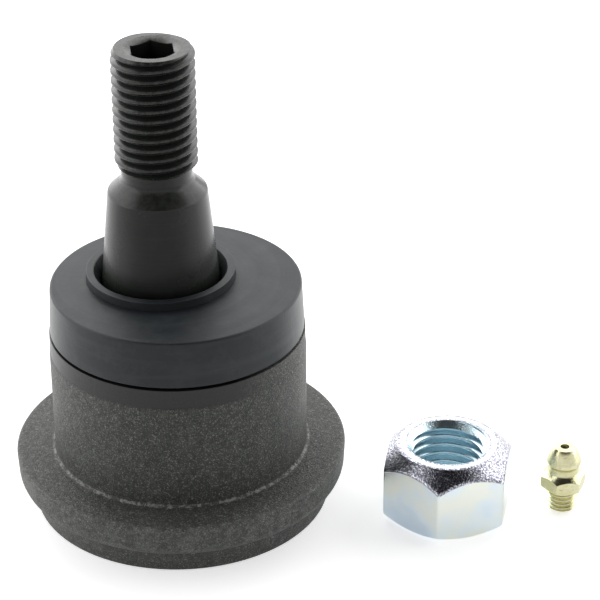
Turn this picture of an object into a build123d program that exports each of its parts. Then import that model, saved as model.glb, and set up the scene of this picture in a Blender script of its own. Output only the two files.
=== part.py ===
"""Press-in suspension ball joint with its lock nut and grease fitting.

Lengths are in millimetres, and heights are above the plane that the joint stands on.
The row frame has +Z up the barrel's axis and its origin on that axis, level with the ball's centre,
so every piece is built on the standing plane and then lowered by BALL_HEIGHT.
"""
import math
import os

from build123d import *

# ---- housing, turned about the barrel's axis
BARREL_R = 25.4
BAND_STEP = 0.15
BAND_HEIGHT = 4.0
HOUSING_RISE = 14.0  # of the housing's top above the ball's centre
FLANGE_R = 33.2
FLANGE_DRAFT = 0.3
FLANGE_TOP = 11.9
FLANGE_SIDE = 6.4
FLANGE_EDGE = 0.5
BARREL_FILLET = 0.9
BASE_R = 29.7
BASE_NECK_R = 30.6
BASE_CONE_TOP = 4.6
SPIGOT_R = 22.4
SPIGOT_HEIGHT = 1.6

# ---- ball stud, standing off the barrel's axis by the built-in camber offset
STUD_X = -3.0
STUD_Y = 1.9
BALL_R = 15.5
BALL_HEIGHT = 24.0
BALL_FLAT = 14.6
NECK_R = 8.5
NECK_LENGTH = 20.3  # from the ball's centre
NECK_FILLET = 1.0
SEAT_R = 11.55
SEAT_SLOPE = 1.9
SEAT_LENGTH = 3.7
SEAT_FILLET = 2.6
SHOULDER_R = 9.64
TAPER_LENGTH = 17.1
TAPER_PER_LENGTH = 0.1  # of radius for each millimetre of length
FLARE_HEIGHT = 1.9
UNDERCUT_R = 6.85
UNDERCUT_FILLET = 1.6
THREAD_R = 8.0
UNDERCUT_LENGTH = 5.2
THREAD_LENGTH = 22.4
TIP_LENGTH = 1.7
STUD_FACE_R = 7.05
SOCKET_FLATS = 8.0
SOCKET_DEPTH = 8.5
SOCKET_RIM = 0.35
SOCKET_TURN = 38.0

# ---- how far the stud leans on each of its two cross axes
LEAN = 15.0
MOUTH_EXTRA = 4.0

# ---- bearing shells, preload spring and end cover
SHELL_WALL = 2.7
SHELL_SPLIT = 0.7
SHELL_RISE = 9.0
SHELL_BEVEL = 3.5
SHELL_PORT_R = 3.5
SPRING_THICKNESS = 1.0
SPRING_INNER_R = 8.0
SPRING_RIM_GAP = 1.8
SPRING_SPACE = 1.8
COVER_BOTTOM = 1.6
COVER_THICKNESS = 3.0
COVER_LEDGE = 1.1
COVER_BEVEL = 0.6
BOSS_R = 5.2
BOSS_HEIGHT = 1.4
PORT_R = 2.75
PORT_BEVEL = 0.45
RIM_R = 17.0
RIM_BEVEL = 1.0

# ---- dust boot and its two rings
BOOT_HEIGHT = 9.6
BOOT_BOTTOM_R = 25.1
BOOT_TOP_R = 24.6
BOOT_ROOF = 2.5
LIP_RISE = 1.9
LIP_FOOT_WIDTH = 3.25  # of the lip, from the stud's seat outwards
LIP_TOP_WIDTH = 2.75
LIP_FLARE = 1.25
LIP_BEVEL = 2.2
BASE_RING_WIDTH = 1.4
BASE_RING_HEIGHT = 1.3
LIP_RING_COVER = 1.35  # of rubber between the stud's seat and the band
LIP_RING_WIDTH = 0.6
LIP_RING_DEPTH = 3.4
LIP_RING_HEIGHT = 1.3

# ---- lock nut, standing beside the joint
NUT_X = 53.6
NUT_Y = -8.3
NUT_TURN = -101.0
NUT_FLATS = 24.0
NUT_HEIGHT = 15.5
NUT_TOP_R = 10.1
NUT_BASE_R = 11.3
NUT_BASE_ANGLE = 30.0
NUT_BORE_R = 6.92
NUT_BORE_BEVEL = 1.3

# ---- grease fitting, standing on its threaded end
FITTING_X = 76.8
FITTING_Y = -8.5
FITTING_TURN = 8.0
FITTING_THREAD_R = 3.175
FITTING_TIP_R = 1.9
FITTING_TIP_HEIGHT = 0.95
FITTING_FLATS = 7.94
FITTING_HEX_BOTTOM = 5.24
FITTING_HEX_HEIGHT = 2.45
FITTING_NECK_R = 2.98
FITTING_NECK_BOTTOM = 9.0
FITTING_NECK_TOP = 10.2
FITTING_HEAD_R = 3.43
FITTING_HEAD_HEIGHT = 11.5
FITTING_TOP = 14.4
FITTING_TOP_R = 2.35
FITTING_NECK_FILLET = 1.0
FITTING_BORE_R = 1.35
FITTING_STAKE_R = 0.85
FITTING_STAKE_HEIGHT = 0.8
FITTING_SEAT_HEIGHT = 12.9
FITTING_MOUTH_R = 0.9
CHECK_BALL_R = 1.28
COIL_WIRE_R = 0.16
COIL_TURNS = 5

# ---- clearances
FIT = 0.05
SEAT_GAP = 0.3
CLOSE = 0.01
OVERCUT = 1.0  # how far a cutting shape runs past the face it opens

# ---- places worked out from the sizes above
STUD_AXIS = Pos(STUD_X, STUD_Y, 0)
SHELL_BORE_R = BALL_R + FIT
CAVITY_R = SHELL_BORE_R + SHELL_WALL + FIT
SHELL_TOP = BALL_HEIGHT + SHELL_RISE
ROOF = SHELL_TOP + FIT
COVER_TOP = COVER_BOTTOM + COVER_THICKNESS
COVER_R = CAVITY_R + COVER_LEDGE
SHELL_FLOOR = COVER_TOP + SPRING_SPACE
HOUSING_TOP = BALL_HEIGHT + HOUSING_RISE
SPIGOT_TOP = HOUSING_TOP + SPIGOT_HEIGHT
NECK_TOP = BALL_HEIGHT + NECK_LENGTH
SEAT_BOTTOM = NECK_TOP + SEAT_SLOPE
SEAT_TOP = SEAT_BOTTOM + SEAT_LENGTH
SHOULDER = SEAT_TOP + TAPER_LENGTH
THREAD_BOTTOM = SHOULDER + UNDERCUT_LENGTH
THREAD_TOP = THREAD_BOTTOM + THREAD_LENGTH
STUD_TOP = THREAD_TOP + TIP_LENGTH
BOOT_BOTTOM = HOUSING_TOP + SEAT_GAP
BOOT_TOP = BOOT_BOTTOM + BOOT_HEIGHT
LIP_TOP = BOOT_TOP + LIP_RISE
LIP_FOOT_R = SEAT_R + LIP_FOOT_WIDTH
LIP_OUTER_R = SEAT_R + LIP_TOP_WIDTH
LIP_INNER_R = SEAT_R + LIP_FLARE
LIP_RING_INNER_R = SEAT_R + LIP_RING_COVER
LIP_RING_BOTTOM = LIP_TOP - LIP_RING_DEPTH
DOUBLE_LEAN = math.degrees(math.acos(math.cos(math.radians(LEAN)) ** 2))
MOUTH_ANGLE = DOUBLE_LEAN + MOUTH_EXTRA


def turned(*outline):
    """Turn a closed outline about Z. Each corner is (radius, height) or (radius, height, round)."""
    corners = [corner[:2] for corner in outline]
    rounds = [corner[2] if len(corner) == 3 else 0 for corner in outline]
    line = FilletPolyline(*corners, radius=rounds, close=True)
    return revolve(Plane.XZ * make_face(line), Axis.Z)


def drum(radius, bottom, top):
    """Plain cylinder about Z between two heights."""
    return Pos(0, 0, bottom) * extrude(Circle(radius), top - bottom)


def hexagon(flats, bottom, top, turn):
    """Hexagonal bar about Z, with its first corner at the angle turn."""
    outline = RegularPolygon(flats / 2, 6, major_radius=False, align=None)
    return Pos(0, 0, bottom) * Rot(0, 0, turn) * extrude(outline, top - bottom)


def ball(radius):
    """Sphere about the ball's centre."""
    return Pos(0, 0, BALL_HEIGHT) * Sphere(radius)


def mouth(top):
    """Conical space above the ball that the leaning neck sweeps, up to the height top."""
    neck_angle = math.asin((NECK_R + NECK_FILLET) / (BALL_R + NECK_FILLET))
    edge_angle = neck_angle + math.radians(DOUBLE_LEAN) + FIT / BALL_R
    edge_r = SHELL_BORE_R * math.sin(edge_angle)
    edge_height = BALL_HEIGHT + SHELL_BORE_R * math.cos(edge_angle)
    slope = math.tan(math.radians(MOUTH_ANGLE))
    top_r = edge_r + slope * (top - edge_height)
    foot_r = edge_r - slope * (edge_height - BALL_HEIGHT)
    return turned((0, BALL_HEIGHT), (foot_r, BALL_HEIGHT), (top_r, top), (0, top))


def make_housing():
    """Forged shell: flange, press-in barrel, boot spigot, and the offset cavity closed by a swaged rim."""
    band_bottom = HOUSING_TOP - BAND_HEIGHT
    shell = turned(
        (0, 0),
        (BASE_R, 0),
        (BASE_NECK_R, BASE_CONE_TOP),
        (FLANGE_R - FLANGE_DRAFT, FLANGE_SIDE),
        (FLANGE_R, FLANGE_TOP, FLANGE_EDGE),
        (BARREL_R, FLANGE_TOP, BARREL_FILLET),
        (BARREL_R, band_bottom),
        (BARREL_R - BAND_STEP, band_bottom),
        (BARREL_R - BAND_STEP, HOUSING_TOP),
        (SPIGOT_R, HOUSING_TOP),
        (SPIGOT_R, SPIGOT_TOP),
        (0, SPIGOT_TOP),
    )
    cavity = turned(
        (0, -CLOSE),
        (RIM_R + RIM_BEVEL, -CLOSE),
        (RIM_R, RIM_BEVEL),
        (RIM_R, COVER_BOTTOM - FIT),
        (COVER_R + FIT, COVER_BOTTOM - FIT),
        (COVER_R + FIT, COVER_TOP + FIT),
        (CAVITY_R, COVER_TOP + FIT),
        (CAVITY_R, ROOF - SHELL_BEVEL),
        (CAVITY_R - SHELL_BEVEL, ROOF),
        (0, ROOF),
    )
    return shell - STUD_AXIS * (cavity + mouth(SPIGOT_TOP + OVERCUT))


def make_ball_stud():
    """Forged stud: truncated ball, neck, boot seat, locking taper, undercut, threaded end, hex socket."""
    taper_foot_r = SHOULDER_R + TAPER_PER_LENGTH * TAPER_LENGTH
    shank = turned(
        (0, BALL_HEIGHT),
        (NECK_R, BALL_HEIGHT),
        (NECK_R, NECK_TOP, SEAT_FILLET),
        (SEAT_R, SEAT_BOTTOM),
        (SEAT_R, SEAT_TOP),
        (taper_foot_r, SEAT_TOP),
        (SHOULDER_R, SHOULDER),
        (UNDERCUT_R, SHOULDER + FLARE_HEIGHT, UNDERCUT_FILLET),
        (UNDERCUT_R, THREAD_BOTTOM),
        (THREAD_R, THREAD_BOTTOM + THREAD_R - UNDERCUT_R),
        (THREAD_R, THREAD_TOP),
        (STUD_FACE_R, STUD_TOP),
        (0, STUD_TOP),
    )
    clear_r = BALL_R + OVERCUT
    flat = drum(clear_r, BALL_HEIGHT - clear_r, BALL_HEIGHT - BALL_FLAT)
    stud = ball(BALL_R) - flat + shank
    neck_height = BALL_HEIGHT + math.sqrt(BALL_R**2 - NECK_R**2)
    junction = [
        edge
        for edge in stud.edges().filter_by(GeomType.CIRCLE)
        if abs(edge.arc_center.Z - neck_height) < CLOSE
    ]
    stud = fillet(junction, NECK_FILLET)
    socket = hexagon(SOCKET_FLATS, STUD_TOP - SOCKET_DEPTH, STUD_TOP, SOCKET_TURN)
    corner_r = SOCKET_FLATS / math.sqrt(3) + SOCKET_RIM
    rim = turned((0, STUD_TOP - corner_r), (corner_r, STUD_TOP), (0, STUD_TOP))
    return STUD_AXIS * (stud - socket - rim)


def make_upper_bearing():
    """Upper bearing shell: round outside, spherical inside, open at the top for the leaning neck."""
    outer_r = CAVITY_R - FIT
    blank = turned(
        (0, BALL_HEIGHT + SHELL_SPLIT),
        (outer_r, BALL_HEIGHT + SHELL_SPLIT),
        (outer_r, SHELL_TOP - SHELL_BEVEL),
        (outer_r - SHELL_BEVEL, SHELL_TOP),
        (0, SHELL_TOP),
    )
    return STUD_AXIS * (blank - ball(SHELL_BORE_R) - mouth(SHELL_TOP + OVERCUT))


def make_lower_bearing():
    """Lower bearing cup, pressed up against the ball, with a grease hole through its floor."""
    outer_r = CAVITY_R - FIT
    blank = drum(outer_r, SHELL_FLOOR, BALL_HEIGHT - SHELL_SPLIT)
    port = drum(SHELL_PORT_R, SHELL_FLOOR - OVERCUT, BALL_HEIGHT)
    return STUD_AXIS * (blank - ball(SHELL_BORE_R) - port)


def make_preload_spring():
    """Conical disc spring between the end cover and the lower bearing."""
    foot = COVER_TOP + FIT
    crown = SHELL_FLOOR - FIT
    outer_r = CAVITY_R - SPRING_RIM_GAP
    disc = turned(
        (SPRING_INNER_R, crown - SPRING_THICKNESS),
        (outer_r, foot),
        (outer_r, foot + SPRING_THICKNESS),
        (SPRING_INNER_R, crown),
    )
    return STUD_AXIS * disc


def make_end_cover():
    """End cover, swaged into the housing, with a raised boss bored for the grease fitting's thread."""
    boss_top = COVER_TOP + BOSS_HEIGHT
    disc = turned(
        (PORT_R + PORT_BEVEL, COVER_BOTTOM),
        (COVER_R - COVER_BEVEL, COVER_BOTTOM),
        (COVER_R, COVER_BOTTOM + COVER_BEVEL),
        (COVER_R, COVER_TOP),
        (BOSS_R, COVER_TOP),
        (BOSS_R, boss_top),
        (PORT_R, boss_top),
        (PORT_R, COVER_BOTTOM + PORT_BEVEL),
    )
    return STUD_AXIS * disc


def make_boot_base_ring():
    """Steel ring that holds the boot's foot on the housing's spigot."""
    inner_r = SPIGOT_R + FIT
    outer_r = inner_r + BASE_RING_WIDTH
    top = BOOT_BOTTOM + BASE_RING_HEIGHT
    return turned((inner_r, BOOT_BOTTOM), (outer_r, BOOT_BOTTOM), (outer_r, top), (inner_r, top))


def make_boot_lip_ring():
    """Steel band inside the boot's lip, which keeps the lip tight on the stud."""
    outer_r = LIP_RING_INNER_R + LIP_RING_WIDTH
    band = drum(outer_r, LIP_RING_BOTTOM, LIP_RING_BOTTOM + LIP_RING_HEIGHT)
    bore = drum(LIP_RING_INNER_R, LIP_RING_BOTTOM, LIP_RING_BOTTOM + LIP_RING_HEIGHT)
    return STUD_AXIS * (band - bore)


def make_dust_boot():
    """Rubber boot: a puck on the housing, hollow below, with a raised lip around the stud."""
    base_ring_r = SPIGOT_R + FIT + BASE_RING_WIDTH + SEAT_GAP
    base_ring_top = BOOT_BOTTOM + BASE_RING_HEIGHT + SEAT_GAP
    roof = BOOT_TOP - BOOT_ROOF
    puck = turned(
        (0, BOOT_BOTTOM),
        (BOOT_BOTTOM_R, BOOT_BOTTOM),
        (BOOT_TOP_R, BOOT_TOP),
        (0, BOOT_TOP),
    )
    hollow = turned(
        (0, BOOT_BOTTOM),
        (base_ring_r, BOOT_BOTTOM),
        (base_ring_r, base_ring_top),
        (SPIGOT_R + SEAT_GAP, base_ring_top),
        (SPIGOT_R + SEAT_GAP, roof),
        (0, roof),
    )
    lip = turned(
        (0, roof),
        (LIP_FOOT_R, roof),
        (LIP_FOOT_R, BOOT_TOP),
        (LIP_OUTER_R, LIP_TOP),
        (0, LIP_TOP),
    )
    throat = turned(
        (0, roof),
        (SEAT_R + SEAT_GAP, roof),
        (SEAT_R + SEAT_GAP, LIP_TOP - LIP_BEVEL),
        (LIP_INNER_R, LIP_TOP),
        (0, LIP_TOP),
    )
    slot_inner_r = LIP_RING_INNER_R - SEAT_GAP
    slot_outer_r = LIP_RING_INNER_R + LIP_RING_WIDTH + SEAT_GAP
    slot_top = LIP_RING_BOTTOM + LIP_RING_HEIGHT + SEAT_GAP
    slot = drum(slot_outer_r, roof, slot_top) - drum(slot_inner_r, roof, slot_top)
    return puck - hollow + STUD_AXIS * lip - STUD_AXIS * (throat + slot)


def make_lock_nut():
    """All-metal lock nut: hexagon with a conical crown, its corners bevelled at the base, bored to size."""
    corner_r = NUT_FLATS / math.sqrt(3)
    crown_foot = NUT_HEIGHT - (corner_r - NUT_TOP_R)
    base_rise = (corner_r - NUT_BASE_R) * math.tan(math.radians(NUT_BASE_ANGLE))
    envelope = turned(
        (0, 0),
        (NUT_BASE_R, 0),
        (corner_r, base_rise),
        (corner_r, crown_foot),
        (NUT_TOP_R, NUT_HEIGHT),
        (0, NUT_HEIGHT),
    )
    wide_r = NUT_BORE_R + NUT_BORE_BEVEL
    bore = turned(
        (0, 0),
        (wide_r, 0),
        (NUT_BORE_R, NUT_BORE_BEVEL),
        (NUT_BORE_R, NUT_HEIGHT - NUT_BORE_BEVEL),
        (wide_r, NUT_HEIGHT),
        (0, NUT_HEIGHT),
    )
    bar = hexagon(NUT_FLATS, 0, NUT_HEIGHT, NUT_TURN)
    return Pos(NUT_X, NUT_Y, 0) * ((bar & envelope) - bore)


def make_fitting_body():
    """Grease fitting: coupling head, waist, hexagon and threaded end, bored from the tail to the ball's seat."""
    corner_r = FITTING_FLATS / math.sqrt(3)
    hex_top = FITTING_HEX_BOTTOM + FITTING_HEX_HEIGHT
    body = turned(
        (0, 0),
        (FITTING_TIP_R, 0),
        (FITTING_THREAD_R, FITTING_TIP_HEIGHT),
        (FITTING_THREAD_R, FITTING_HEX_BOTTOM),
        (corner_r, FITTING_HEX_BOTTOM),
        (corner_r, hex_top),
        (FITTING_NECK_R, FITTING_NECK_BOTTOM, FITTING_NECK_FILLET),
        (FITTING_NECK_R, FITTING_NECK_TOP, FITTING_NECK_FILLET),
        (FITTING_HEAD_R, FITTING_HEAD_HEIGHT),
        (FITTING_TOP_R, FITTING_TOP),
        (0, FITTING_TOP),
    )
    bar = hexagon(FITTING_FLATS, FITTING_HEX_BOTTOM, FITTING_TOP, FITTING_TURN)
    tail = drum(FITTING_THREAD_R, 0, FITTING_HEX_BOTTOM)
    seat_top = FITTING_SEAT_HEIGHT + FITTING_BORE_R - FITTING_MOUTH_R
    bore = turned(
        (0, 0),
        (FITTING_STAKE_R, 0),
        (FITTING_STAKE_R, FITTING_STAKE_HEIGHT),
        (FITTING_BORE_R, FITTING_STAKE_HEIGHT),
        (FITTING_BORE_R, FITTING_SEAT_HEIGHT),
        (FITTING_MOUTH_R, seat_top),
        (FITTING_MOUTH_R, FITTING_TOP),
        (0, FITTING_TOP),
    )
    return Pos(FITTING_X, FITTING_Y, 0) * ((body & (bar + tail)) - bore)


def check_ball_height():
    """Height of the check ball's centre when it rests against the conical seat under the mouth."""
    seat_touch = FITTING_SEAT_HEIGHT + FITTING_BORE_R
    return seat_touch - (CHECK_BALL_R + FIT) * math.sqrt(2)


def make_fitting_ball():
    """Check ball, held up against the fitting's conical seat."""
    return Pos(FITTING_X, FITTING_Y, check_ball_height()) * Sphere(CHECK_BALL_R)


def make_fitting_spring():
    """Compression spring between the fitting's staked tail and the check ball."""
    coil_r = FITTING_BORE_R - COIL_WIRE_R - FIT
    foot = FITTING_STAKE_HEIGHT + COIL_WIRE_R + FIT
    drop = math.sqrt((CHECK_BALL_R + COIL_WIRE_R + FIT) ** 2 - coil_r**2)
    length = check_ball_height() - drop - foot
    path = Helix(length / COIL_TURNS, length, coil_r)
    wire = sweep(Plane(origin=path @ 0, z_dir=path % 0) * Circle(COIL_WIRE_R), path)
    return Pos(FITTING_X, FITTING_Y, foot) * wire


SUB_PARTS = {
    "housing": make_housing,
    "ball_stud": make_ball_stud,
    "upper_bearing": make_upper_bearing,
    "lower_bearing": make_lower_bearing,
    "preload_spring": make_preload_spring,
    "end_cover": make_end_cover,
    "dust_boot": make_dust_boot,
    "boot_base_ring": make_boot_base_ring,
    "boot_lip_ring": make_boot_lip_ring,
    "lock_nut": make_lock_nut,
    "fitting_body": make_fitting_body,
    "fitting_ball": make_fitting_ball,
    "fitting_spring": make_fitting_spring,
}


def main():
    """Build each sub-part, lower it into the row frame and write it as STEP."""
    os.makedirs("parts", exist_ok=True)
    for name, make in SUB_PARTS.items():
        piece = Pos(0, 0, -BALL_HEIGHT) * make()
        piece.label = name
        export_step(piece, f"parts/{name}.step")


main()
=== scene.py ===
"""Looks of the press-in suspension ball joint, its lock nut and its grease fitting.

Sizes are in millimetres. Heights are above the floor that the joint stands on.
"""
import math

import bmesh
import bpy
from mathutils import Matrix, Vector


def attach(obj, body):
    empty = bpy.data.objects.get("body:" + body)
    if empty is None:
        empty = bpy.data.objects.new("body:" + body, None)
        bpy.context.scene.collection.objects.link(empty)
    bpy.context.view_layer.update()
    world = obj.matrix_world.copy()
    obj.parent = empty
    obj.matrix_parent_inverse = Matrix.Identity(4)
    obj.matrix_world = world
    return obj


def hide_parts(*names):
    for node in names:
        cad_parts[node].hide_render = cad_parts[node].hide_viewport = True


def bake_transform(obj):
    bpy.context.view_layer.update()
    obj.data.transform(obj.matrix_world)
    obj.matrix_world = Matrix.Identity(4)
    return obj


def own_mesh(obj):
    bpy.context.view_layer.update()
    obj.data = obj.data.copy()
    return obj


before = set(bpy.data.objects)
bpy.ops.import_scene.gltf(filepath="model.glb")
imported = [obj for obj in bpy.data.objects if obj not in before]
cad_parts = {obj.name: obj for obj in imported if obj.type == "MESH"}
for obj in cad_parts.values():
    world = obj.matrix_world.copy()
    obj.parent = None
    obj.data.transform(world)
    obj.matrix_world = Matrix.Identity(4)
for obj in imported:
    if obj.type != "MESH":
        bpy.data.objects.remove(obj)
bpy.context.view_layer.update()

MM = 0.001
SEAM = 2e-6  # metres; a gap this thin counts as closed

# ---- upright axes, and the height of the ball's centre
BALL_HEIGHT = 24.0
STUD_AXIS = (-3.0, 1.9)
BARREL_AXIS = (0.0, 0.0)
NUT_AXIS = (53.6, -8.3)
FITTING_AXIS = (76.8, -8.5)

# ---- housing
FLANGE_R = 33.2
FLANGE_EDGE_R = 32.9
FLANGE_TOP = 11.9
BARREL_R = 25.4
BARREL_FILLET = 0.9
TURNED_BAND_R = 25.25
TURNED_BAND_START = 33.6
TURNED_BAND_FULL = 34.3
BARREL_TOP = 38.0
SPIGOT_R = 22.4
SPIGOT_TOP = 39.6
COVER_SEAT_R = 19.5
COVER_SEAT_TOP = 4.65
BEARING_BORE_R = 18.3

# ---- ball stud
BALL_R = 15.5
NECK_R = 8.5
BOOT_SEAT_R = 11.55
BOOT_SEAT_BOTTOM = 46.2
TAPER_BOTTOM = 47.9
TAPER_TOP_R = 9.64
TAPER_TOP = 67.0
UNDERCUT_BOTTOM = 69.5
STUD_THREAD_R = 8.0
STUD_THREAD_ROOT_R = 6.85
STUD_THREAD_START = 72.6
STUD_TOP = 96.3
STUD_SOCKET_FLATS = 8.0
STUD_SOCKET_TURN = 38.0
COARSE_PITCH = 2.0

# ---- dust boot
BOOT_FOOT = 38.3
BOOT_FOOT_R = 25.1
BOOT_FOLD = 43.5
BOOT_FOLD_R = 24.83
BOOT_ROOF = 47.9
BOOT_ROOF_R = 24.6
ROOF_RISE = 0.25  # so slight that the roof looks flat
BOOT_SKIN = 0.7
LIP_R = 14.65
LIP_GAP = 0.02
LIP_BOTTOM = 46.4
LIP_TOP = 49.95

# ---- lock nut
NUT_FLATS = 24.0
NUT_TURN = -101.0
NUT_TOP = 15.5
NUT_RING_R = 10.1
NUT_FOOT_R = 11.3
NUT_LEAD_R = 8.22  # where the bevels of the bore meet the nut's two ends
NUT_THREAD_R = 8.05
NUT_BORE_R = 6.92

# ---- grease fitting and its port in the end cover
FITTING_FLATS = 7.94
FITTING_TURN = 8.0
FITTING_HEX_BOTTOM = 5.24
FITTING_HEX_TOP = 7.69
FITTING_NECK_R = 2.98
FITTING_HEAD_R = 3.43
FITTING_THREAD_R = 3.175
FITTING_BORE_R = 1.35
FINE_PITCH = 0.907
SPRING_FOOT, SPRING_TOP = 1.01, 11.41

SURROUND_LIGHT = 0.52


# ---------------------------------------------------------------- modelling helpers
def place(x, y, height):
    """Point in metres from millimetres and a height above the floor."""
    return Vector((x * MM, y * MM, (height - BALL_HEIGHT) * MM))


def pick_object(piece):
    """Make one object the only selected and active one, in object mode."""
    if bpy.context.object and bpy.context.object.mode != "OBJECT":
        bpy.ops.object.mode_set(mode="OBJECT")
    bpy.ops.object.select_all(action="DESELECT")
    if piece:
        piece.select_set(True)
        bpy.context.view_layer.objects.active = piece


def edit(piece, mode="VERT"):
    """Open one object in edit mode with nothing selected."""
    pick_object(piece)
    bpy.ops.object.mode_set(mode="EDIT")
    bpy.ops.mesh.select_mode(type=mode)
    bpy.ops.mesh.select_all(action="DESELECT")


def close_edit(piece):
    """Merge doubles, point the faces outwards, and put the object's origin at the world's."""
    bpy.ops.mesh.select_all(action="SELECT")
    bpy.ops.mesh.remove_doubles(threshold=1e-7)
    bpy.ops.mesh.normals_make_consistent(inside=False)
    bpy.ops.object.mode_set(mode="OBJECT")
    bpy.ops.object.transform_apply(location=True, rotation=True, scale=True)
    return piece


def stacked(name, rings, segments=128, ends="capped"):
    """Skin through rings of (radius, height, centre), extruded one from the other.

    The two end rings are capped, joined to each other, or left open.
    """
    pick_object(None)
    radius, height, centre = rings[0]
    bpy.ops.mesh.primitive_circle_add(
        vertices=segments, radius=radius * MM, location=place(*centre, height)
    )
    piece = bpy.context.object
    piece.name = name
    bpy.ops.object.mode_set(mode="EDIT")
    bpy.ops.mesh.select_mode(type="EDGE")
    bpy.ops.mesh.select_all(action="SELECT")
    if ends == "capped":
        bpy.ops.mesh.edge_face_add()
    steps = rings[1:] + rings[:1] if ends == "joined" else rings[1:]
    here = place(*centre, height)
    for next_radius, next_height, next_centre in steps:
        there = place(*next_centre, next_height)
        bpy.ops.mesh.extrude_edges_move(TRANSFORM_OT_translate={"value": there - here})
        ratio = next_radius / radius
        bpy.ops.transform.resize(value=(ratio, ratio, 1), center_override=there)
        radius, here = next_radius, there
    if ends == "capped":
        bpy.ops.mesh.edge_face_add()
    return close_edit(piece)


def turned(name, outline, axis, segments=128, ends="capped"):
    """Skin turned about one upright axis through corners of (radius, height)."""
    return stacked(name, [(r, h, axis) for r, h in outline], segments, ends)


def soften(piece, axis, corners, segments=3):
    """Round the ring edges at corners of (radius, height, width)."""
    for radius, height, width in corners:
        edit(piece, "EDGE")
        mesh = bmesh.from_edit_mesh(piece.data)
        centre = place(*axis, height)
        for edge in mesh.edges:
            on_ring = all(
                abs(v.co.z - centre.z) < 1e-5
                and abs((v.co.xy - centre.xy).length - radius * MM) < 2e-5
                for v in edge.verts
            )
            edge.select_set(on_ring)
        bmesh.update_edit_mesh(piece.data)
        bpy.ops.mesh.bevel(offset=width * MM, segments=segments, affect="EDGES")
        bpy.ops.object.mode_set(mode="OBJECT")


def apply_modifier(piece, kind, **settings):
    """Add a modifier, set it and apply it."""
    pick_object(piece)
    modifier = piece.modifiers.new(kind.lower(), kind)
    for key, value in settings.items():
        setattr(modifier, key, value)
    bpy.ops.object.modifier_apply(modifier=modifier.name)


def combine(piece, tool, operation):
    """Cut, keep or join a second shape, which is used up."""
    apply_modifier(piece, "BOOLEAN", operation=operation, object=tool, solver="EXACT")
    bpy.data.objects.remove(tool, do_unlink=True)


def corner_radius(flats):
    """Distance from a hexagon's middle to its corners."""
    return flats / math.sqrt(3)


def hex_bar(flats, bottom, top, axis, turn):
    """Hexagonal bar with a corner at the angle turn."""
    pick_object(None)
    bpy.ops.mesh.primitive_cylinder_add(
        vertices=6,
        radius=corner_radius(flats) * MM,
        depth=(top - bottom) * MM,
        location=place(*axis, (top + bottom) / 2),
        rotation=(0, 0, math.radians(turn - 30)),
    )
    bar = bpy.context.object
    bpy.ops.object.transform_apply(location=True, rotation=True, scale=True)
    return bar


def rounded(before, corner, after, reach, steps=3):
    """Points of a curve in place of a corner, from reach before it to reach after it."""
    before, corner, after = Vector(before), Vector(corner), Vector(after)
    start = corner + (before - corner).normalized() * reach
    end = corner + (after - corner).normalized() * reach
    points = []
    for step in range(steps + 1):
        share = step / steps
        points.append(start.lerp(corner, share).lerp(corner.lerp(end, share), share))
    return [tuple(point) for point in points]


def wind(piece, pitch, turns, steps):
    """Sweep an outline up a screw line about the upright axis through its object's origin."""
    apply_modifier(
        piece,
        "SCREW",
        axis="Z",
        screw_offset=pitch * MM,
        iterations=turns,
        steps=steps,
        render_steps=steps,
    )


def thread_outline(crest_r, root_r, pitch, crest_width):
    """One turn of a thread with rounded crests and roots, as corners of (radius, height)."""
    flank = (crest_r - root_r) * math.tan(math.radians(30))
    crest_low = (pitch - crest_width) / 2
    crest_high = (pitch + crest_width) / 2
    corners = [
        (root_r, 0),
        (root_r, crest_low - flank),
        (crest_r, crest_low),
        (crest_r, crest_high),
        (root_r, crest_high + flank),
        (root_r, pitch),
    ]
    crest_reach, root_reach = crest_width * 0.45, (crest_low - flank) * 0.8
    outline = [corners[0]]
    for number, reach in ((1, root_reach), (2, crest_reach), (3, crest_reach), (4, root_reach)):
        outline += rounded(*corners[number - 1:number + 2], reach)
    return outline + [corners[-1]]


def thread(crest_r, root_r, pitch, bottom, top, axis, crest_width, steps=96):
    """Closed bar with an outside thread, cut off flat at both ends."""
    outline = thread_outline(crest_r, root_r, pitch, crest_width)
    start = bottom - 1.5 * pitch
    turns = math.ceil((top - bottom) / pitch) + 3
    pick_object(None)
    bpy.ops.mesh.primitive_plane_add(size=pitch * MM, location=place(*axis, start))
    bar = bpy.context.object
    bpy.ops.object.mode_set(mode="EDIT")
    bpy.ops.mesh.select_mode(type="VERT")
    bpy.ops.mesh.select_all(action="SELECT")
    bpy.ops.mesh.merge(type="CENTER")
    bpy.ops.transform.translate(value=(root_r * MM, 0, 0))
    for (r0, h0), (r1, h1) in zip(outline, outline[1:]):
        move = ((r1 - r0) * MM, 0, (h1 - h0) * MM)
        bpy.ops.mesh.extrude_vertices_move(TRANSFORM_OT_translate={"value": move})
    wind(bar, pitch, turns, steps)
    edit(bar)
    bpy.ops.mesh.select_all(action="SELECT")
    bpy.ops.mesh.remove_doubles(threshold=1e-6)
    for height, below in ((bottom, True), (top, False)):
        bpy.ops.mesh.select_all(action="SELECT")
        bpy.ops.mesh.bisect(
            plane_co=place(*axis, height),
            plane_no=(0, 0, 1),
            use_fill=True,
            clear_inner=below,
            clear_outer=not below,
            threshold=1e-7,
        )
    return close_edit(bar)


def smooth(piece, angle=35, weighted=True):
    """Close hair-thin seams, then shade smooth up to an angle, led by the larger faces."""
    edit(piece)
    bpy.ops.mesh.select_all(action="SELECT")
    bpy.ops.mesh.remove_doubles(threshold=SEAM)
    bpy.ops.mesh.dissolve_degenerate(threshold=SEAM)
    bpy.ops.object.mode_set(mode="OBJECT")
    pick_object(piece)
    bpy.ops.object.shade_smooth_by_angle(angle=math.radians(angle))
    if weighted:
        apply_modifier(piece, "WEIGHTED_NORMAL", keep_sharp=True, weight=60)


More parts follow.
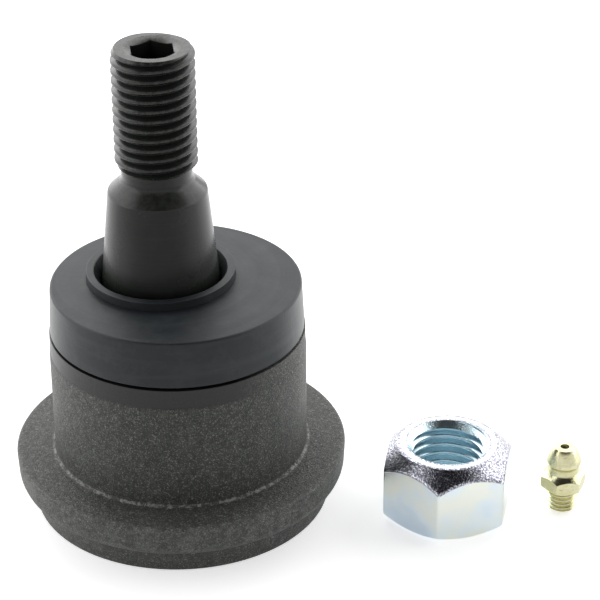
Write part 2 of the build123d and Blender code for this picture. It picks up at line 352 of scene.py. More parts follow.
# ---------------------------------------------------------------- material helpers
class Nodes:
    """Nodes of a material or a world, with the coordinates that they read."""

    def __init__(self, tree, coordinates):
        self.tree = tree
        self.coords = self.node("ShaderNodeTexCoord").outputs[coordinates]

    def node(self, kind, **settings):
        made = self.tree.nodes.new(kind)
        for key, value in settings.items():
            setattr(made, key, value)
        return made

    def link(self, source, target):
        self.tree.links.new(source, target)

    def math(self, operation, first, second=0.0):
        """Arithmetic on two sockets or numbers."""
        sums = self.node("ShaderNodeMath", operation=operation)
        for socket, value in zip(sums.inputs, (first, second)):
            if isinstance(value, bpy.types.NodeSocket):
                self.link(value, socket)
            else:
                socket.default_value = value
        return sums.outputs["Value"]

    def step(self, source, low, high):
        """Smooth step from 0 at low to 1 at high, or back where low is the larger."""
        spread = self.node("ShaderNodeMapRange", interpolation_type="SMOOTHSTEP")
        spread.inputs["From Min"].default_value = min(low, high)
        spread.inputs["From Max"].default_value = max(low, high)
        if low > high:
            spread.inputs["To Min"].default_value = 1.0
            spread.inputs["To Max"].default_value = 0.0
        self.link(source, spread.inputs["Value"])
        return spread.outputs["Result"]

    def light_path(self):
        """Whether a ray comes from the camera, and whether from a mirror or through glass."""
        path = self.node("ShaderNodeLightPath").outputs
        mirrored = self.math("MAXIMUM", path["Is Glossy Ray"], path["Is Transmission Ray"])
        return path["Is Camera Ray"], mirrored


class Finish(Nodes):
    """A material in the making, on Object coordinates."""

    def __init__(self, name, **shader):
        self.material = bpy.data.materials.new(name)
        self.material.use_nodes = True
        super().__init__(self.material.node_tree, "Object")
        self.shader = self.tree.nodes["Principled BSDF"]
        for key, value in shader.items():
            self.shader.inputs[key.replace("_", " ")].default_value = value

    def noise(self, scale, detail=3.0, rough=0.55, stretch=(1, 1, 1)):
        """Noise with its scale in marks per millimetre."""
        mapping = self.node("ShaderNodeMapping")
        mapping.inputs["Scale"].default_value = stretch
        self.link(self.coords, mapping.inputs["Vector"])
        texture = self.node("ShaderNodeTexNoise")
        texture.inputs["Scale"].default_value = scale / MM
        texture.inputs["Detail"].default_value = detail
        texture.inputs["Roughness"].default_value = rough
        self.link(mapping.outputs["Vector"], texture.inputs["Vector"])
        return texture.outputs["Fac"]

    def rings(self, axis, scale):
        """Faint uneven rings round an upright axis, with their scale in rings per millimetre."""
        joined = self.node("ShaderNodeCombineXYZ")
        self.link(self.radius(axis), joined.inputs["X"])
        self.link(self.math("MULTIPLY", self.across("X"), 0.04), joined.inputs["Y"])
        self.link(self.height(), joined.inputs["Z"])
        texture = self.node("ShaderNodeTexNoise")
        texture.inputs["Scale"].default_value = scale
        texture.inputs["Detail"].default_value = 3.0
        self.link(joined.outputs["Vector"], texture.inputs["Vector"])
        return texture.outputs["Fac"]

    def cells(self, scale):
        """Voronoi cells with their scale in cells per millimetre."""
        texture = self.node("ShaderNodeTexVoronoi")
        texture.inputs["Scale"].default_value = scale / MM
        self.link(self.coords, texture.inputs["Vector"])
        return texture.outputs["Distance"]

    def ramp(self, source, *stops):
        """Colour ramp through (place, value or colour) stops."""
        ramp = self.node("ShaderNodeValToRGB")
        points = ramp.color_ramp.elements
        while len(points) < len(stops):
            points.new(0.5)
        for point, (where, what) in zip(points, stops):
            point.position = where
            point.color = (*what, 1) if isinstance(what, tuple) else (what, what, what, 1)
        self.link(source, ramp.inputs["Fac"])
        return ramp.outputs["Color"]

    def mix(self, share, first, second):
        """Mix two colours; share, first and second are sockets or values."""
        mixer = self.node("ShaderNodeMix", data_type="RGBA")
        sockets = (mixer.inputs[0], mixer.inputs[6], mixer.inputs[7])
        for socket, value in zip(sockets, (share, first, second)):
            if isinstance(value, bpy.types.NodeSocket):
                self.link(value, socket)
            elif isinstance(value, tuple):
                socket.default_value = (*value, 1)
            else:
                socket.default_value = value
        return mixer.outputs[2]

    def colour(self, source):
        self.link(source, self.shader.inputs["Base Color"])

    def roughness(self, source, low, high):
        """Roughness between two values where the source runs from 0 to 1."""
        spread = self.node("ShaderNodeMapRange")
        spread.inputs["To Min"].default_value = low
        spread.inputs["To Max"].default_value = high
        self.link(source, spread.inputs["Value"])
        self.link(spread.outputs["Result"], self.shader.inputs["Roughness"])

    def bump(self, *layers):
        """Bumps from (source, height in millimetres) layers, one over the other."""
        normal = None
        for source, height in layers:
            bump = self.node("ShaderNodeBump")
            bump.inputs["Distance"].default_value = height * MM
            self.link(source, bump.inputs["Height"])
            if normal:
                self.link(normal, bump.inputs["Normal"])
            normal = bump.outputs["Normal"]
        self.link(normal, self.shader.inputs["Normal"])

    def across(self, axis_name, origin=0.0):
        """Distance along X, Y or Z from an origin, in millimetres."""
        split = self.node("ShaderNodeSeparateXYZ")
        self.link(self.coords, split.inputs["Vector"])
        return self.math("SUBTRACT", self.math("DIVIDE", split.outputs[axis_name], MM), origin)

    def height(self):
        """Height above the floor, in millimetres."""
        return self.across("Z", -BALL_HEIGHT)

    def radius(self, axis):
        """Distance from an upright axis, in millimetres."""
        x, y = self.across("X", axis[0]), self.across("Y", axis[1])
        squares = self.math("ADD", self.math("MULTIPLY", x, x), self.math("MULTIPLY", y, y))
        return self.math("SQRT", squares)

    def near(self, source, value, reach):
        """One where the source is within reach of a value, falling to 0 outside it."""
        distance = self.math("ABSOLUTE", self.math("SUBTRACT", source, value))
        return self.step(distance, reach * 1.5, reach)

    def both(self, *masks):
        """Product of masks that run from 0 to 1."""
        product = masks[0]
        for mask in masks[1:]:
            product = self.math("MULTIPLY", product, mask)
        return product

    def either(self, *masks):
        """The larger of masks that run from 0 to 1."""
        largest = masks[0]
        for mask in masks[1:]:
            largest = self.math("MAXIMUM", largest, mask)
        return largest

    def outside(self, mask, strength):
        """One where a mask is 0, lower by strength where it is 1."""
        return self.math("SUBTRACT", 1.0, self.math("MULTIPLY", mask, strength))


def dress(piece, finish, body, slot, *nodes):
    """Give a new piece its material and its body, and hide the CAD nodes it stands for. The slot is
    not used.
    """
    piece.data.materials.clear()
    piece.data.materials.append(finish)
    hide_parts(*nodes)
    if body:
        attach(piece, body)


# ---------------------------------------------------------------- materials
def forged_steel():
    """Phosphated forging, green-grey and gritty, with a smoother turned band at its top."""
    f = Finish("forged_steel", Metallic=0.0, IOR=1.47)
    grain = f.noise(2.0, 4, 0.7)
    grit = f.noise(3.6, 2, 0.7)
    mottle = f.noise(0.9, 3, 0.7)
    patches = f.noise(0.05, 3, 0.55)
    scratches = f.noise(0.55, 2, 0.5, (1, 1, 0.08))
    out, height = f.radius(BARREL_AXIS), f.height()

    # phosphate coat, painted lighter on its left side as if lit from there, scratched, and rubbed
    # on the flange's rim
    coat = f.ramp(patches, (0.3, (0.041, 0.0445, 0.0395)), (0.7, (0.057, 0.0615, 0.054)))
    # painted light: the coat turns lighter towards the left side
    left_side_painted_light = f.both(f.step(f.across("X"), -4.0, -28.0), 0.4)
    coat = f.mix(left_side_painted_light, coat, (0.12, 0.125, 0.113))
    coat = f.mix(f.ramp(scratches, (0.42, 0.0), (0.72, 0.5)), coat, (0.1, 0.105, 0.094))
    rim = f.step(out, FLANGE_EDGE_R - 1.1, FLANGE_EDGE_R - 0.1)
    rim_wear = f.both(rim, f.ramp(scratches, (0.3, 0.3), (0.65, 1.0)))
    coat = f.mix(rim_wear, coat, (0.12, 0.126, 0.113))

    # dark blotches, pale specks and dark pits
    coat = f.mix(f.ramp(mottle, (0.38, 0.75), (0.6, 0.0)), coat, (0.02, 0.022, 0.0195))
    specks = f.both(
        f.ramp(grit, (0.56, 0.0), (0.64, 1.0)),
        f.ramp(mottle, (0.4, 0.35), (0.55, 1.0)),
    )
    coat = f.mix(specks, coat, (0.25, 0.257, 0.235))
    coat = f.mix(f.ramp(grain, (0.32, 0.85), (0.46, 0.0)), coat, (0.007, 0.0075, 0.0068))

    # painted highlight: a pale, broken line along the fillet between barrel and flange
    fillet = f.both(
        f.near(out, BARREL_R + BARREL_FILLET / 3, 0.17),
        f.step(height, FLANGE_TOP + 1.3, FLANGE_TOP + 0.7),
    )
    fillet_highlight = f.both(fillet, f.ramp(mottle, (0.46, 0.05), (0.58, 0.85)))
    coat = f.mix(fillet_highlight, coat, (0.28, 0.288, 0.265))

    # turned band, which fades out to one side
    ragged_height = f.math("ADD", height, f.both(f.math("SUBTRACT", grain, 0.5), 1.2))
    turned_band = f.both(
        f.step(ragged_height, TURNED_BAND_START, TURNED_BAND_FULL),
        f.step(f.across("X"), 21.0, 11.0),
    )
    machined = f.mix(
        f.ramp(grit, (0.45, 0.0), (0.8, 0.5)), (0.009, 0.0096, 0.009), (0.03, 0.031, 0.029)
    )
    f.colour(f.mix(turned_band, coat, machined))
    f.roughness(f.mix(turned_band, grain, (0.0, 0.0, 0.0)), 0.36, 0.66)
    forging = f.outside(turned_band, 0.8)
    f.bump(
        (f.both(mottle, forging), 0.1),
        (f.both(grain, forging), 0.18),
        (f.both(grit, forging), 0.14),
        (scratches, 0.05),
    )
    return f.material


def black_oxide():
    """Black oxide on turned steel: near black, satin, lathe lines, and rubbed highs that are also
    painted highlights.
    """
    f = Finish("black_oxide_steel", Metallic=0.0, IOR=1.39)
    lathe = f.noise(2.2, 2, 0.5, (0.02, 0.02, 1))
    haze = f.noise(0.12, 3, 0.6)
    fine = f.noise(3.5, 2, 0.6)
    out, height = f.radius(STUD_AXIS), f.height()

    oxide = f.ramp(haze, (0.3, (0.0095, 0.0112, 0.0095)), (0.75, (0.018, 0.0205, 0.0175)))
    oxide = f.mix(f.ramp(lathe, (0.5, 0.0), (0.8, 0.5)), oxide, (0.02, 0.0215, 0.0187))
    # rubbed wear plus painted highlights: thread crests, top face and shoulder are painted lighter
    scuffs = f.ramp(f.noise(0.9, 3, 0.65), (0.42, 0.15), (0.62, 1.0))
    on_thread = f.step(height, UNDERCUT_BOTTOM + 1.0, UNDERCUT_BOTTOM + 2.0)
    crests = f.both(f.step(out, STUD_THREAD_R - 0.25, STUD_THREAD_R - 0.05), f.both(on_thread, 0.6))
    face = f.both(f.step(height, STUD_TOP - 1.1, STUD_TOP - 0.7), f.step(out, 4.0, 4.6))
    shoulder = f.both(f.near(height, TAPER_TOP + 1.2, 1.0), 0.35)
    rubbed_and_highlight = f.both(f.either(crests, face, shoulder), scuffs)
    f.colour(f.mix(rubbed_and_highlight, oxide, (0.062, 0.065, 0.058)))
    f.roughness(haze, 0.2, 0.32)
    f.bump((lathe, 0.008), (fine, 0.012))
    return f.material


def boot_rubber():
    """Moulded rubber: blue-black, satin, with faint ring scuffs and a little bloom."""
    f = Finish("boot_rubber", Metallic=0.0, IOR=1.42)
    bloom = f.noise(0.07, 3, 0.6)
    fine = f.noise(4, 2, 0.6)
    smudge = f.noise(0.2, 4, 0.7)
    rings = f.rings(STUD_AXIS, 0.45)

    rubber = f.ramp(bloom, (0.3, (0.0095, 0.0128, 0.0155)), (0.75, (0.0155, 0.0192, 0.0225)))
    rubber = f.mix(f.ramp(rings, (0.52, 0.0), (0.68, 0.5)), rubber, (0.034, 0.039, 0.044))
    rubber = f.mix(f.ramp(smudge, (0.5, 0.0), (0.66, 0.6)), rubber, (0.028, 0.033, 0.037))
    f.colour(rubber)
    wall = f.both(
        f.step(f.radius(BARREL_AXIS), BOOT_ROOF_R - 0.6, BOOT_ROOF_R - 0.2),
        f.step(f.height(), BOOT_ROOF - 0.1, BOOT_ROOF - 0.6),
    )
    f.roughness(f.both(f.mix(0.5, smudge, rings), f.outside(wall, 0.7)), 0.28, 0.7)
    f.bump((fine, 0.014), (smudge, 0.06), (rings, 0.03))
    return f.material


def clear_zinc():
    """Blue-clear zinc plate: pale flats, a hammered crown and lead-in with painted dark
    reflections, and bluer threads.
    """
    f = Finish("clear_zinc", Metallic=1.0)
    mottle = f.noise(0.45, 3, 0.6)
    tint = f.noise(0.11, 2, 0.5)
    hammered = f.noise(3.0, 3, 0.65)
    out, height = f.radius(NUT_AXIS), f.height()

    crown = f.near(f.math("ADD", out, height), NUT_TOP + NUT_RING_R, 0.35)
    lead_in = f.near(f.math("SUBTRACT", height, out), NUT_TOP - NUT_LEAD_R, 0.3)
    lead_in = f.both(lead_in, f.step(height, NUT_TOP - 2.0, NUT_TOP - 1.5))
    crown_and_lead_in = f.either(crown, lead_in)
    bore = f.step(out, NUT_THREAD_R + 0.3, NUT_THREAD_R + 0.05)
    ring = f.step(height, NUT_TOP - 0.2, NUT_TOP - 0.1)

    plate = f.ramp(
        tint, (0.35, (0.62, 0.73, 0.83)), (0.5, (0.72, 0.81, 0.86)), (0.65, (0.8, 0.83, 0.76))
    )
    plate = f.mix(f.ramp(mottle, (0.45, 0.0), (0.75, 0.4)), plate, (0.8, 0.84, 0.87))
    plate = f.mix(ring, plate, (0.56, 0.59, 0.62))
    # crown and lead-in: real hammered bumps, with dark speckles painted in as reflections
    dimples_and_dark_reflection = f.ramp(hammered, (0.45, (0.16, 0.16, 0.21)), (0.64, (0.86, 0.87, 0.93)))
    plate = f.mix(crown_and_lead_in, plate, dimples_and_dark_reflection)
    f.colour(f.mix(bore, plate, (0.66, 0.83, 0.9)))
    f.roughness(mottle, 0.16, 0.3)
    f.bump((mottle, 0.02), (f.both(hammered, crown_and_lead_in), 0.075))
    return f.material


def yellow_zinc():
    """Pale yellow zinc plate on a machined fitting."""
    f = Finish("yellow_zinc", Metallic=1.0)
    tint = f.noise(0.4, 2, 0.5)
    fine = f.noise(2.4, 3, 0.65)
    plate = f.ramp(tint, (0.35, (0.62, 0.59, 0.34)), (0.65, (0.7, 0.68, 0.44)))
    f.colour(f.mix(f.ramp(fine, (0.3, 0.6), (0.46, 0.0)), plate, (0.3, 0.3, 0.22)))
    f.roughness(fine, 0.14, 0.3)
    f.bump((fine, 0.035))
    return f.material


def cover_steel():
    """Plated pressing that closes the joint."""
    f = Finish("cover_steel", Metallic=1.0)
    tint = f.noise(0.3, 3, 0.5)
    fine = f.noise(4, 2, 0.6)
    f.colour(f.ramp(tint, (0.3, (0.42, 0.4, 0.33)), (0.7, (0.55, 0.53, 0.45))))
    f.roughness(fine, 0.3, 0.45)
    f.bump((fine, 0.02))
    return f.material


def spring_steel():
    """Dark tempered spring steel."""
    f = Finish("spring_steel", Metallic=1.0)
    tint = f.noise(0.5, 3, 0.5)
    f.colour(f.ramp(tint, (0.3, (0.16, 0.17, 0.19)), (0.7, (0.26, 0.26, 0.27))))
    f.roughness(tint, 0.25, 0.4)
    f.bump((f.noise(4, 2, 0.6), 0.01))
    return f.material


def bearing_metal():
    """Sintered bearing metal, dull and porous."""
    f = Finish("bearing_metal", Metallic=1.0)
    pores = f.cells(2.2)
    tint = f.noise(0.8, 3, 0.6)
    metal = f.ramp(tint, (0.3, (0.2, 0.19, 0.17)), (0.7, (0.3, 0.28, 0.25)))
    f.colour(f.mix(f.ramp(pores, (0.05, 0.9), (0.2, 0.0)), metal, (0.05, 0.048, 0.045)))
    f.roughness(tint, 0.45, 0.62)
    f.bump((pores, 0.05))
    return f.material


def bright_steel():
    """Polished ball and drawn spring wire."""
    f = Finish("bright_steel", Metallic=1.0)
    tint = f.noise(1.5, 2, 0.5)
    f.colour(f.ramp(tint, (0.3, (0.5, 0.5, 0.5)), (0.7, (0.62, 0.62, 0.61))))
    f.roughness(tint, 0.12, 0.22)
    f.bump((f.noise(6, 2, 0.6), 0.004))
    return f.material


# ---------------------------------------------------------------- pieces
def make_housing():
    """Forged housing: flange, barrel with its turned band, spigot, and the cavity off its axis."""
    foot_r, flange_edge = 29.7, 6.4
    shell = turned(
        "housing_forging",
        [
            (foot_r, 0),
            (30.6, 4.6),
            (FLANGE_EDGE_R, flange_edge),
            (FLANGE_R, FLANGE_TOP),
            (BARREL_R, FLANGE_TOP),
            (BARREL_R, TURNED_BAND_START),
            (TURNED_BAND_R, TURNED_BAND_FULL),
            (TURNED_BAND_R, BARREL_TOP),
            (SPIGOT_R, BARREL_TOP),
            (SPIGOT_R, SPIGOT_TOP),
        ],
        BARREL_AXIS,
        192,
    )
    soften(
        shell,
        BARREL_AXIS,
        [
            (foot_r, 0, 0.5),
            (FLANGE_EDGE_R, flange_edge, 1.2),
            (FLANGE_R, FLANGE_TOP, 0.6),
            (BARREL_R, FLANGE_TOP, BARREL_FILLET),
            (TURNED_BAND_R, BARREL_TOP, 0.1),
        ],
        4,
    )
    swage_r, swage_top, cover_seat = 17.0, 1.0, 1.55
    roof, throat_r, throat = 29.55, 14.8, 33.05
    mouth_r, past_spigot = 18.24, 41.0
    cavity = turned(
        "cavity",
        [
            (swage_r + 1, -0.5),
            (swage_r + 1, 0),
            (swage_r, swage_top),
            (swage_r, cover_seat),
            (COVER_SEAT_R, cover_seat),
            (COVER_SEAT_R, COVER_SEAT_TOP),
            (BEARING_BORE_R, COVER_SEAT_TOP),
            (BEARING_BORE_R, roof),
            (throat_r, throat),
            (mouth_r, past_spigot),
        ],
        STUD_AXIS,
    )
    combine(shell, cavity, "DIFFERENCE")
    smooth(shell)
    return shell


def make_stud():
    """Ball stud: truncated ball, neck, boot seat, taper, undercut, rolled thread, hex socket."""
    lowest, highest, steps = -70.4, 56.7, 24  # the ball's first and last ring, in degrees
    neck_low, neck_high = 38.2, 43.2
    ball_rings = []
    for step in range(steps + 1):
        angle = math.radians(lowest + step * (highest - lowest) / steps)
        ball_rings.append((BALL_R * math.cos(angle), BALL_HEIGHT + BALL_R * math.sin(angle)))
    shank = turned(
        "ball_stud_forging",
        ball_rings
        + [
            (NECK_R, neck_low),
            (NECK_R, neck_high),
            (9.0, 44.6),
            (BOOT_SEAT_R, BOOT_SEAT_BOTTOM),
            (BOOT_SEAT_R, TAPER_BOTTOM),
            (TAPER_TOP_R, TAPER_TOP),
            (STUD_THREAD_ROOT_R, UNDERCUT_BOTTOM),
            (STUD_THREAD_ROOT_R, STUD_THREAD_START),
        ],
        STUD_AXIS,
    )
    corners = [(TAPER_TOP_R, TAPER_TOP, 0.25), (STUD_THREAD_ROOT_R, UNDERCUT_BOTTOM, 0.8)]
    soften(shank, STUD_AXIS, corners, 5)
    bar = thread(
        STUD_THREAD_R, STUD_THREAD_ROOT_R, COARSE_PITCH, 70.9, STUD_TOP + 0.7, STUD_AXIS, 0.56
    )
    run_out = [(6.7, 71.9), (6.9, 72.1), (8.2, 73.3)]
    lead_in = [(8.2, STUD_TOP - 1.4), (7.25, STUD_TOP)]
    combine(bar, turned("thread_ends", run_out + lead_in, STUD_AXIS, 96), "INTERSECT")
    combine(shank, bar, "UNION")
    socket_floor = 87.8
    socket = hex_bar(STUD_SOCKET_FLATS, socket_floor, STUD_TOP + 1.7, STUD_AXIS, STUD_SOCKET_TURN)
    combine(shank, socket, "DIFFERENCE")
    rim = turned("socket_rim", [(3.0, 95.08), (5.6, 96.3), (6.4, 96.67)], STUD_AXIS, 64)
    combine(shank, rim, "DIFFERENCE")
    smooth(shank, 38)
    return shank


def make_end_cover():
    """End cover with its boss and the threaded port for the grease fitting."""
    boss_r, boss_top = 5.2, 6.0
    edge_r, plate_top = COVER_SEAT_R - 0.05, COVER_SEAT_TOP - 0.05
    cover = turned(
        "end_cover_plate",
        [
            (edge_r - 0.6, 1.6),
            (edge_r, 2.2),
            (edge_r, plate_top),
            (boss_r, plate_top),
            (boss_r, boss_top),
        ],
        STUD_AXIS,
    )
    soften(cover, STUD_AXIS, [(boss_r, boss_top, 0.3)], 2)
    port = thread(3.2, 2.75, FINE_PITCH, 0.5, 7.0, STUD_AXIS, 0.15, 64)
    combine(cover, port, "DIFFERENCE")
    bevel = turned("port_bevel", [(4.2, 0.6), (2.6, 2.2)], STUD_AXIS, 64)
    combine(cover, bevel, "DIFFERENCE")
    smooth(cover)
    return cover


def make_boot_band():
    """Lower band of the dust boot, which keeps its foot on the housing."""
    ring_r, ring_top = 24.15, 39.9
    hook_r, hook_top, wall_inside = 22.7, 40.6, 23.9
    band = turned(
        "dust_boot_band",
        [
            (BOOT_FOOT_R, BOOT_FOOT),
            (BOOT_FOLD_R, BOOT_FOLD),
            (wall_inside, BOOT_FOLD),
            (wall_inside, hook_top),
            (hook_r, hook_top),
            (hook_r, ring_top),
            (ring_r, ring_top),
            (ring_r, BOOT_FOOT),
        ],
        BARREL_AXIS,
        192,
        "joined",
    )
    soften(band, BARREL_AXIS, [(BOOT_FOOT_R, BOOT_FOOT, 0.5)], 4)
    smooth(band)
    return band


def make_boot_crown():
    """Upper wall and roof of the dust boot, a skin that gets its thickness on the inside.

    The roof's rings move over from the barrel's axis to the stud's. They rise a little towards
    the lip, so that a bend led by height spreads across the roof.
    """
    rings = [
        (BOOT_FOLD_R, BOOT_FOLD, BARREL_AXIS),
        (BOOT_FOLD_R - 0.001, BOOT_FOLD + 0.02, BARREL_AXIS),
        (BOOT_ROOF_R + 0.03, BOOT_ROOF - 0.55, BARREL_AXIS),
        (BOOT_ROOF_R, BOOT_ROOF, BARREL_AXIS),
    ]
    hole_r = LIP_R + LIP_GAP
    first, loops = 0.055, 18
    for share in [first] + [step / loops for step in range(2, loops)] + [0.998, 1.0]:
        offset = (share - first) / (1 - first)
        centre = (STUD_AXIS[0] * offset, STUD_AXIS[1] * offset)
        radius = BOOT_ROOF_R + (hole_r - BOOT_ROOF_R) * share
        rings.append((radius, BOOT_ROOF + ROOF_RISE * share**1.4, centre))
    crown = stacked("dust_boot_crown", rings, 192, "open")
    soften(crown, BARREL_AXIS, [(BOOT_ROOF_R, BOOT_ROOF, 0.45)], 4)
    smooth(crown, weighted=False)
    wall = crown.modifiers.new("wall", "SOLIDIFY")
    wall.thickness = BOOT_SKIN * MM
    wall.offset = -1
    return crown


def make_boot_lip():
    """Raised lip of the dust boot, which grips the stud."""
    edge_r, mouth_r, grip_r = LIP_R - 0.05, 13.1, 11.85
    lip = turned(
        "dust_boot_lip",
        [
            (LIP_R, LIP_BOTTOM),
            (edge_r, LIP_TOP),
            (mouth_r, LIP_TOP),
            (grip_r, 47.6),
            (grip_r, LIP_BOTTOM),
        ],
        STUD_AXIS,
        192,
        "joined",
    )
    soften(lip, STUD_AXIS, [(edge_r, LIP_TOP, 0.16), (mouth_r, LIP_TOP, 0.2)], 3)
    smooth(lip)
    return lip


def make_nut():
    """Lock nut: hexagon with a conical crown, soft plated edges and an inside thread."""
    clear_r = corner_radius(NUT_FLATS) + 0.3
    nut = hex_bar(NUT_FLATS, 0, NUT_TOP, NUT_AXIS, NUT_TURN)
    nut.name = "lock_nut_body"
    envelope = turned(
        "nut_ends",
        [
            (NUT_FOOT_R, -0.01),
            (clear_r, 1.65),
            (clear_r, NUT_TOP + NUT_RING_R - clear_r),
            (NUT_RING_R - 0.01, NUT_TOP + 0.01),
        ],
        NUT_AXIS,
        144,
    )
    combine(nut, envelope, "INTERSECT")
    apply_modifier(
        nut,
        "BEVEL",
        width=0.4 * MM,
        segments=3,
        limit_method="ANGLE",
        angle_limit=math.radians(20),
    )
    bore = thread(NUT_THREAD_R, NUT_BORE_R, COARSE_PITCH, -1.0, NUT_TOP + 1.5, NUT_AXIS, 0.3)
    combine(nut, bore, "DIFFERENCE")
    wide, narrow = 9.5, 6.5
    foot_bevel = [(wide, NUT_LEAD_R - wide), (narrow, NUT_LEAD_R - narrow)]
    top_bevel = [(radius, NUT_TOP - height) for radius, height in reversed(foot_bevel)]
    for outline in (foot_bevel, top_bevel):
        combine(nut, turned("bore_bevel", outline, NUT_AXIS, 96), "DIFFERENCE")
    smooth(nut, 38)
    return nut


def make_fitting():
    """Grease fitting: coupling head, waist, hexagon, short tapered thread, open bore."""
    corner_r = corner_radius(FITTING_FLATS)
    blank = turned(
        "fitting_hex",
        [
            (3.6, FITTING_HEX_BOTTOM),
            (corner_r, FITTING_HEX_BOTTOM + 0.35),
            (corner_r, FITTING_HEX_TOP),
            (3.4, 8.5),
        ],
        FITTING_AXIS,
        96,
    )
    combine(blank, hex_bar(FITTING_FLATS, 4, 10, FITTING_AXIS, FITTING_TURN), "INTERSECT")
    combine(blank, make_fitting_head(), "UNION")
    combine(blank, make_fitting_tail(), "UNION")
    stake_r, mouth_r = 0.85, 0.9
    bore = turned(
        "fitting_bore",
        [
            (stake_r, -0.5),
            (stake_r, 0.8),
            (FITTING_BORE_R, 0.8),
            (FITTING_BORE_R, 12.9),
            (mouth_r, 13.35),
            (mouth_r, 15.0),
        ],
        FITTING_AXIS,
        64,
    )
    combine(blank, bore, "DIFFERENCE")
    blank.name = "grease_fitting_body"
    smooth(blank, 38)
    return blank


def make_fitting_head():
    """Coupling head and waist of the grease fitting, from inside its hexagon up."""
    neck_low, neck_high, head_low, head_high, tip = 9.0, 10.2, 10.9, 11.5, 13.9
    tip_r = 2.45
    head = turned(
        "fitting_head",
        [
            (3.0, 7.0),
            (3.75, 8.2),
            (FITTING_NECK_R, neck_low),
            (FITTING_NECK_R, neck_high),
            (FITTING_HEAD_R, head_low),
            (FITTING_HEAD_R, head_high),
            (tip_r, tip),
            (2.1, 14.4),
        ],
        FITTING_AXIS,
        96,
    )
    soften(
        head,
        FITTING_AXIS,
        [
            (FITTING_NECK_R, neck_low, 0.35),
            (FITTING_NECK_R, neck_high, 0.35),
            (FITTING_HEAD_R, head_low, 0.25),
            (FITTING_HEAD_R, head_high, 0.3),
            (tip_r, tip, 0.3),
        ],
    )
    return head


def make_fitting_tail():
    """Threaded end of the grease fitting with its collar under the hexagon."""
    tail = thread(FITTING_THREAD_R, 2.66, FINE_PITCH, 0.0, 4.6, FITTING_AXIS, 0.16, 64)
    envelope = turned("tail_ends", [(1.9, 0.001), (3.2, 0.95), (3.25, 4.7)], FITTING_AXIS, 64)
    combine(tail, envelope, "INTERSECT")
    collar = turned("fitting_collar", [(2.7, 4.3), (2.95, 4.5), (2.95, 5.6)], FITTING_AXIS, 64)
    combine(tail, collar, "UNION")
    return tail


def make_fitting_spring():
    """Round wire wound five times between the staked tail and the check ball."""
    wire_r, coil_r, turns = 0.16, 1.14, 5
    pick_object(None)
    bpy.ops.mesh.primitive_circle_add(
        vertices=12,
        radius=wire_r * MM,
        location=place(*FITTING_AXIS, SPRING_FOOT),
        rotation=(math.pi / 2, 0, 0),
    )
    spring = bpy.context.object
    spring.name = "fitting_spring_wire"
    bpy.ops.object.transform_apply(location=False, rotation=True, scale=True)
    edit(spring)
    bpy.ops.mesh.select_all(action="SELECT")
    bpy.ops.transform.translate(value=(coil_r * MM, 0, 0))
    wind(spring, (SPRING_TOP - SPRING_FOOT) / turns, turns, 48)
    edit(spring)
    bpy.ops.mesh.select_all(action="SELECT")
    bpy.ops.mesh.fill_holes(sides=0)
    close_edit(spring)
    smooth(spring, 50, weighted=False)
    return spring


# ---------------------------------------------------------------- build
rubber = boot_rubber()
bright = bright_steel()

dress(make_housing(), forged_steel(), "housing", "forged_steel", "housing")
dress(make_stud(), black_oxide(), "stud", "black_oxide_steel", "ball_stud")
dress(make_end_cover(), cover_steel(), "housing", "cover_steel", "end_cover")

band = make_boot_band()
dress(band, rubber, None, "boot_rubber", "dust_boot")
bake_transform(band)
crown = make_boot_crown()
dress(crown, rubber, None, "boot_rubber", "dust_boot")
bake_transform(crown)
dress(make_boot_lip(), rubber, "boot_lip", "boot_rubber", "dust_boot")

dress(make_nut(), clear_zinc(), "nut", "clear_zinc", "lock_nut")
dress(make_fitting(), yellow_zinc(), "grease_fitting", "yellow_zinc", "fitting_body")
coil = make_fitting_spring()
dress(coil, bright, "grease_fitting", "spring_steel", "fitting_spring")
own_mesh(coil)

for names, finish in (
    (("upper_bearing", "lower_bearing"), bearing_metal()),
    (("preload_spring", "boot_base_ring", "boot_lip_ring"), spring_steel()),
    (("fitting_ball",), bright),
):
    for name in names:
        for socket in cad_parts[name].material_slots:
            socket.material = finish


# ---------------------------------------------------------------- floor, light and camera
def make_floor():
    """White floor with the parts' shadows, which mirrors see brighter towards the back."""
    pick_object(None)
    bpy.ops.mesh.primitive_plane_add(size=8, location=place(0, 0, -0.05))
    floor = bpy.context.object
    floor.name = "floor"
    f = Finish("floor_paper", Roughness=0.9)
    f.shader.inputs["Base Color"].default_value = (0.8, 0.8, 0.8, 1)
    f.shader.inputs["Emission Color"].default_value = (1, 1, 1, 1)
    seen, mirrored = f.light_path()
    depth = f.across("Y")
    front_lift = f.both(f.step(depth, -130.0, -60.0), 0.42)
    back_lift = f.both(f.step(depth, 0.0, 60.0), 0.38)
    mirror_lift = f.both(mirrored, f.math("ADD", front_lift, back_lift))
    far_lift = f.both(f.step(f.radius(BARREL_AXIS), 200.0, 500.0), 0.4)
    seen_lift = f.both(seen, f.math("ADD", far_lift, 0.6))
    f.link(f.math("ADD", seen_lift, mirror_lift), f.shader.inputs["Emission Strength"])
    floor.data.materials.append(f.material)


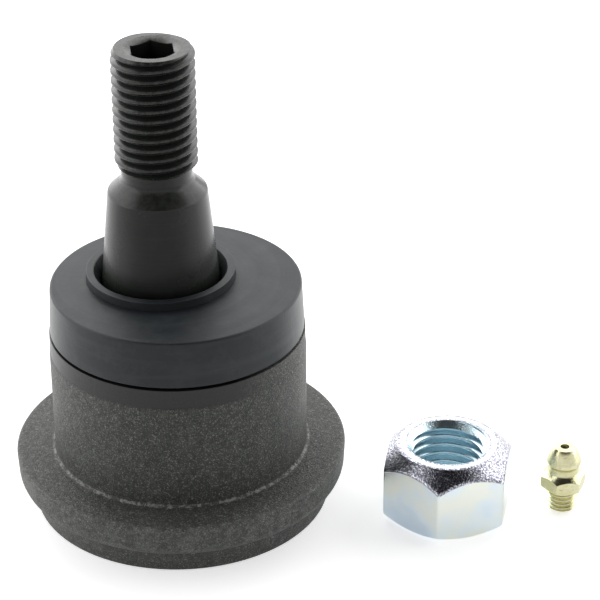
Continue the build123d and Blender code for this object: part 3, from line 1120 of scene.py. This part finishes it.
def make_world():
    """White surround, dimmer as a light than in mirrors, with a dark ceiling over the camera."""
    world = bpy.data.worlds.new("surround")
    bpy.context.scene.world = world
    world.use_nodes = True
    nodes = Nodes(world.node_tree, "Generated")
    widened = nodes.node("ShaderNodeVectorMath", operation="MULTIPLY")
    widened.inputs[1].default_value = (0.6, 1, 1)
    nodes.link(nodes.coords, widened.inputs[0])
    direction = nodes.node("ShaderNodeVectorMath", operation="NORMALIZE")
    nodes.link(widened.outputs["Vector"], direction.inputs[0])
    towards = nodes.node("ShaderNodeVectorMath", operation="DOT_PRODUCT")
    towards.inputs[1].default_value = Vector((0, -0.42, 0.9)).normalized()
    nodes.link(direction.outputs["Vector"], towards.inputs[0])
    ceiling = nodes.node("ShaderNodeMapRange", interpolation_type="SMOOTHSTEP")
    ceiling.inputs["From Min"].default_value = math.cos(math.radians(48))
    ceiling.inputs["From Max"].default_value = math.cos(math.radians(30))
    ceiling.inputs["To Min"].default_value = 1.0
    ceiling.inputs["To Max"].default_value = 0.03
    nodes.link(towards.outputs["Value"], ceiling.inputs["Value"])
    seen, mirrored = nodes.light_path()
    level = nodes.math("MAXIMUM", mirrored, SURROUND_LIGHT)
    unseen = nodes.math("MULTIPLY", ceiling.outputs["Result"], level)
    background = nodes.tree.nodes["Background"]
    background.inputs["Color"].default_value = (1, 1, 1, 1)
    nodes.link(nodes.math("MAXIMUM", unseen, seen), background.inputs["Strength"])


def add_softbox(name, location, target, size, power):
    """Rectangular soft light aimed at a point, in metres and watts."""
    pick_object(None)
    bpy.ops.object.light_add(type="AREA", location=location)
    lamp = bpy.context.object
    lamp.name = name
    lamp.data.shape = "RECTANGLE"
    lamp.data.size, lamp.data.size_y = size
    lamp.data.energy = power
    lamp.visible_camera = False
    aim = Vector(target) - Vector(location)
    lamp.rotation_euler = aim.to_track_quat("-Z", "Y").to_euler()


def make_camera():
    """Camera that looks down at the parts from the front."""
    pick_object(None)
    tilt, roll, pan = (math.radians(angle) for angle in (60.85, 0.288, -0.161))
    bpy.ops.object.camera_add(location=(0.0242, -0.3887, 0.2362), rotation=(tilt, roll, pan))
    camera = bpy.context.object
    camera.data.lens = 136.1
    camera.data.sensor_width = 36
    camera.data.clip_start = 0.01
    bpy.context.scene.camera = camera


make_floor()
make_world()
add_softbox("softbox_left", (-0.55, 0.2, 0.25), (0, 0, -0.02), (1.4, 1.0), 7.1)
add_softbox("softbox_right", (0.55, 0.25, 0.25), (0, 0, -0.02), (0.9, 0.7), 3.4)
add_softbox("softbox_back", (0.0, 0.75, 0.5), (0, 0, 0.0), (1.4, 0.7), 3.9)
make_camera()
bpy.context.scene.view_settings.view_transform = "Standard"

pick_object(None)
